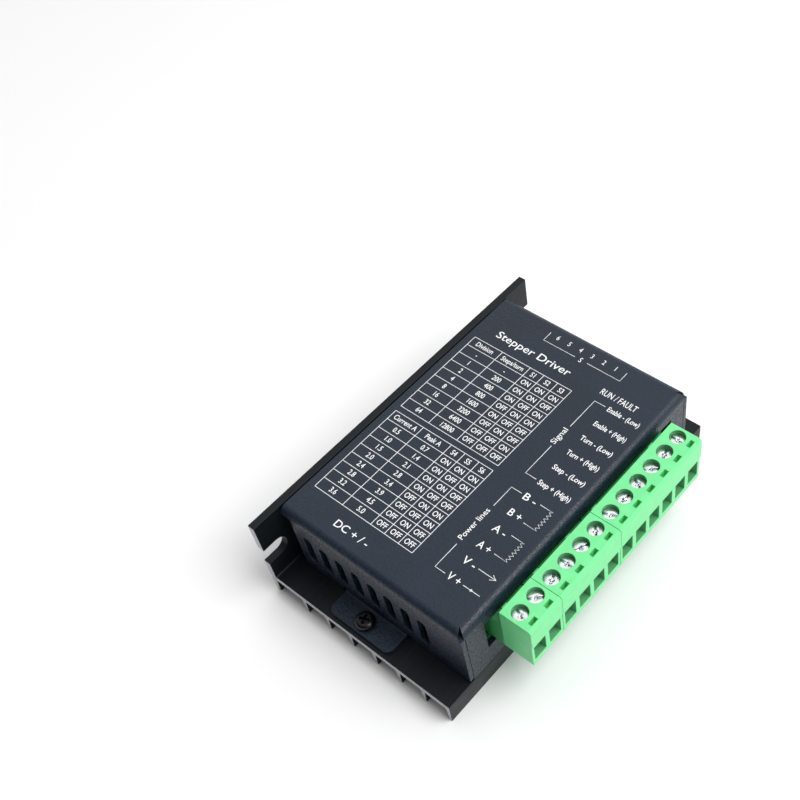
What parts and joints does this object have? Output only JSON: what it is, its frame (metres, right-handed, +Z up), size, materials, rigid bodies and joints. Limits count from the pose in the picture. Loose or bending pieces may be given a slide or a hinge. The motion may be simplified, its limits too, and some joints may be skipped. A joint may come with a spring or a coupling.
{
  "type": "stepper driver module",
  "caption": "Finned metal box module that drives a stepper motor, with a slotted mounting flange, pull-off screw terminals and a slide switch block.",
  "frame": {"origin": "midway along the length and midway across the whole depth, terminal plugs included, at the level of the fin tips", "axes": "+X along the module to the switch end, +Y towards the mounting flange, +Z up from the fins to the printed cover"},
  "size_m": [0.096, 0.068, 0.0278],
  "materials": {
    "anodised_black": "matte black anodised extrusion, bright fin edges at the sawn ends",
    "cover_powder_coat": "fine sparkle black powder coat on bent steel sheet",
    "black_screw": "black oxide",
    "board_green": "solder mask",
    "brass": "turned",
    "zinc": "bright zinc plate",
    "chip_black": "moulded epoxy",
    "thermal_pad_grey": "soft silicone",
    "spreader_aluminium": "milled",
    "capacitor_sleeve": "shrink sleeve",
    "ferrite": "sintered",
    "terminal_green": "moulded polyamide, light green",
    "header_green": "moulded polyamide, darker green",
    "tinned": "tin plated",
    "switch_red": "moulded",
    "slider_white": "moulded",
    "lamp_green": "tinted lens",
    "lamp_red": "tinted lens"
  },
  "bodies": {
    "base": {"heatsink": "anodised_black", "cover": "cover_powder_coat", "cover_screws": "black_screw", "circuit_board": "board_green", "board_standoffs": "brass", "board_screws": "zinc", "driver_chip": "chip_black", "thermal_pad": "thermal_pad_grey", "heat_spreader": "spreader_aluminium", "input_capacitors": "capacitor_sleeve", "inductor": "ferrite", "regulator": "chip_black", "sense_resistors": "chip_black", "optocouplers": "chip_black", "logic_chip": "chip_black", "power_lamp": "lamp_green", "alarm_lamp": "lamp_red", "switch_block": "switch_red", "header_2": "header_green", "header_4": "header_green", "header_6": "header_green", "header_pins": "tinned"},
    "switch_slider_1": {"switch_slider_1": "slider_white"},
    "switch_slider_2": {"switch_slider_2": "slider_white"},
    "switch_slider_3": {"switch_slider_3": "slider_white"},
    "switch_slider_4": {"switch_slider_4": "slider_white"},
    "switch_slider_5": {"switch_slider_5": "slider_white"},
    "switch_slider_6": {"switch_slider_6": "slider_white"},
    "plug_2": {"plug_2": "terminal_green", "contacts_2": "tinned"},
    "plug_4": {"plug_4": "terminal_green", "contacts_4": "tinned"},
    "plug_6": {"plug_6": "terminal_green", "contacts_6": "tinned"},
    "terminal_screw_1": {"terminal_screw_1": "zinc"},
    "clamp_cage_1": {"clamp_cage_1": "zinc"},
    "terminal_screw_2": {"terminal_screw_2": "zinc"},
    "clamp_cage_2": {"clamp_cage_2": "zinc"},
    "terminal_screw_3": {"terminal_screw_3": "zinc"},
    "clamp_cage_3": {"clamp_cage_3": "zinc"},
    "terminal_screw_4": {"terminal_screw_4": "zinc"},
    "clamp_cage_4": {"clamp_cage_4": "zinc"},
    "terminal_screw_5": {"terminal_screw_5": "zinc"},
    "clamp_cage_5": {"clamp_cage_5": "zinc"},
    "terminal_screw_6": {"terminal_screw_6": "zinc"},
    "clamp_cage_6": {"clamp_cage_6": "zinc"},
    "terminal_screw_7": {"terminal_screw_7": "zinc"},
    "clamp_cage_7": {"clamp_cage_7": "zinc"},
    "terminal_screw_8": {"terminal_screw_8": "zinc"},
    "clamp_cage_8": {"clamp_cage_8": "zinc"},
    "terminal_screw_9": {"terminal_screw_9": "zinc"},
    "clamp_cage_9": {"clamp_cage_9": "zinc"},
    "terminal_screw_10": {"terminal_screw_10": "zinc"},
    "clamp_cage_10": {"clamp_cage_10": "zinc"},
    "terminal_screw_11": {"terminal_screw_11": "zinc"},
    "clamp_cage_11": {"clamp_cage_11": "zinc"},
    "terminal_screw_12": {"terminal_screw_12": "zinc"},
    "clamp_cage_12": {"clamp_cage_12": "zinc"}
  },
  "joints": [
    {"name": "switch_slider_1_travel", "type": "slide", "parent": "base", "child": "switch_slider_1", "axis": [0, 0, 1], "range_m": [0, 0.0012]},
    {"name": "switch_slider_2_travel", "type": "slide", "parent": "base", "child": "switch_slider_2", "axis": [0, 0, 1], "range_m": [0, 0.0012]},
    {"name": "switch_slider_3_travel", "type": "slide", "parent": "base", "child": "switch_slider_3", "axis": [0, 0, 1], "range_m": [0, 0.0012]},
    {"name": "switch_slider_4_travel", "type": "slide", "parent": "base", "child": "switch_slider_4", "axis": [0, 0, 1], "range_m": [0, 0.0012]},
    {"name": "switch_slider_5_travel", "type": "slide", "parent": "base", "child": "switch_slider_5", "axis": [0, 0, 1], "range_m": [0, 0.0012]},
    {"name": "switch_slider_6_travel", "type": "slide", "parent": "base", "child": "switch_slider_6", "axis": [0, 0, 1], "range_m": [0, 0.0012]},
    {"name": "plug_2_pull", "type": "slide", "parent": "base", "child": "plug_2", "axis": [0, -1, 0], "range_m": [0, 0.01]},
    {"name": "plug_4_pull", "type": "slide", "parent": "base", "child": "plug_4", "axis": [0, -1, 0], "range_m": [0, 0.01]},
    {"name": "plug_6_pull", "type": "slide", "parent": "base", "child": "plug_6", "axis": [0, -1, 0], "range_m": [0, 0.01]},
    {"name": "terminal_screw_1_turn", "type": "hinge", "parent": "plug_2", "child": "terminal_screw_1", "pos_m": [-0.02874, -0.0291, 0.025], "axis": [0, 0, -1], "range_deg": [0, 1800]},
    {"name": "clamp_cage_1_rise", "type": "slide", "parent": "plug_2", "child": "clamp_cage_1", "axis": [0, 0, 1], "range_m": [0, 0.0025]},
    {"name": "terminal_screw_2_turn", "type": "hinge", "parent": "plug_2", "child": "terminal_screw_2", "pos_m": [-0.02366, -0.0291, 0.025], "axis": [0, 0, -1], "range_deg": [0, 1800]},
    {"name": "clamp_cage_2_rise", "type": "slide", "parent": "plug_2", "child": "clamp_cage_2", "axis": [0, 0, 1], "range_m": [0, 0.0025]},
    {"name": "terminal_screw_3_turn", "type": "hinge", "parent": "plug_4", "child": "terminal_screw_3", "pos_m": [-0.01828, -0.0291, 0.025], "axis": [0, 0, -1], "range_deg": [0, 1800]},
    {"name": "clamp_cage_3_rise", "type": "slide", "parent": "plug_4", "child": "clamp_cage_3", "axis": [0, 0, 1], "range_m": [0, 0.0025]},
    {"name": "terminal_screw_4_turn", "type": "hinge", "parent": "plug_4", "child": "terminal_screw_4", "pos_m": [-0.0132, -0.0291, 0.025], "axis": [0, 0, -1], "range_deg": [0, 1800]},
    {"name": "clamp_cage_4_rise", "type": "slide", "parent": "plug_4", "child": "clamp_cage_4", "axis": [0, 0, 1], "range_m": [0, 0.0025]},
    {"name": "terminal_screw_5_turn", "type": "hinge", "parent": "plug_4", "child": "terminal_screw_5", "pos_m": [-0.00812, -0.0291, 0.025], "axis": [0, 0, -1], "range_deg": [0, 1800]},
    {"name": "clamp_cage_5_rise", "type": "slide", "parent": "plug_4", "child": "clamp_cage_5", "axis": [0, 0, 1], "range_m": [0, 0.0025]},
    {"name": "terminal_screw_6_turn", "type": "hinge", "parent": "plug_4", "child": "terminal_screw_6", "pos_m": [-0.00304, -0.0291, 0.025], "axis": [0, 0, -1], "range_deg": [0, 1800]},
    {"name": "clamp_cage_6_rise", "type": "slide", "parent": "plug_4", "child": "clamp_cage_6", "axis": [0, 0, 1], "range_m": [0, 0.0025]},
    {"name": "terminal_screw_7_turn", "type": "hinge", "parent": "plug_6", "child": "terminal_screw_7", "pos_m": [0.00234, -0.0291, 0.025], "axis": [0, 0, -1], "range_deg": [0, 1800]},
    {"name": "clamp_cage_7_rise", "type": "slide", "parent": "plug_6", "child": "clamp_cage_7", "axis": [0, 0, 1], "range_m": [0, 0.0025]},
    {"name": "terminal_screw_8_turn", "type": "hinge", "parent": "plug_6", "child": "terminal_screw_8", "pos_m": [0.00742, -0.0291, 0.025], "axis": [0, 0, -1], "range_deg": [0, 1800]},
    {"name": "clamp_cage_8_rise", "type": "slide", "parent": "plug_6", "child": "clamp_cage_8", "axis": [0, 0, 1], "range_m": [0, 0.0025]},
    {"name": "terminal_screw_9_turn", "type": "hinge", "parent": "plug_6", "child": "terminal_screw_9", "pos_m": [0.0125, -0.0291, 0.025], "axis": [0, 0, -1], "range_deg": [0, 1800]},
    {"name": "clamp_cage_9_rise", "type": "slide", "parent": "plug_6", "child": "clamp_cage_9", "axis": [0, 0, 1], "range_m": [0, 0.0025]},
    {"name": "terminal_screw_10_turn", "type": "hinge", "parent": "plug_6", "child": "terminal_screw_10", "pos_m": [0.01758, -0.0291, 0.025], "axis": [0, 0, -1], "range_deg": [0, 1800]},
    {"name": "clamp_cage_10_rise", "type": "slide", "parent": "plug_6", "child": "clamp_cage_10", "axis": [0, 0, 1], "range_m": [0, 0.0025]},
    {"name": "terminal_screw_11_turn", "type": "hinge", "parent": "plug_6", "child": "terminal_screw_11", "pos_m": [0.02266, -0.0291, 0.025], "axis": [0, 0, -1], "range_deg": [0, 1800]},
    {"name": "clamp_cage_11_rise", "type": "slide", "parent": "plug_6", "child": "clamp_cage_11", "axis": [0, 0, 1], "range_m": [0, 0.0025]},
    {"name": "terminal_screw_12_turn", "type": "hinge", "parent": "plug_6", "child": "terminal_screw_12", "pos_m": [0.02774, -0.0291, 0.025], "axis": [0, 0, -1], "range_deg": [0, 1800]},
    {"name": "clamp_cage_12_rise", "type": "slide", "parent": "plug_6", "child": "clamp_cage_12", "axis": [0, 0, 1], "range_m": [0, 0.0025]}
  ],
  "couplings": [
    {"joint": "terminal_screw_1_turn", "follows": "clamp_cage_1_rise", "rad_per_m": 12566},
    {"joint": "terminal_screw_2_turn", "follows": "clamp_cage_2_rise", "rad_per_m": 12566},
    {"joint": "terminal_screw_3_turn", "follows": "clamp_cage_3_rise", "rad_per_m": 12566},
    {"joint": "terminal_screw_4_turn", "follows": "clamp_cage_4_rise", "rad_per_m": 12566},
    {"joint": "terminal_screw_5_turn", "follows": "clamp_cage_5_rise", "rad_per_m": 12566},
    {"joint": "terminal_screw_6_turn", "follows": "clamp_cage_6_rise", "rad_per_m": 12566},
    {"joint": "terminal_screw_7_turn", "follows": "clamp_cage_7_rise", "rad_per_m": 12566},
    {"joint": "terminal_screw_8_turn", "follows": "clamp_cage_8_rise", "rad_per_m": 12566},
    {"joint": "terminal_screw_9_turn", "follows": "clamp_cage_9_rise", "rad_per_m": 12566},
    {"joint": "terminal_screw_10_turn", "follows": "clamp_cage_10_rise", "rad_per_m": 12566},
    {"joint": "terminal_screw_11_turn", "follows": "clamp_cage_11_rise", "rad_per_m": 12566},
    {"joint": "terminal_screw_12_turn", "follows": "clamp_cage_12_rise", "rad_per_m": 12566}
  ]
}
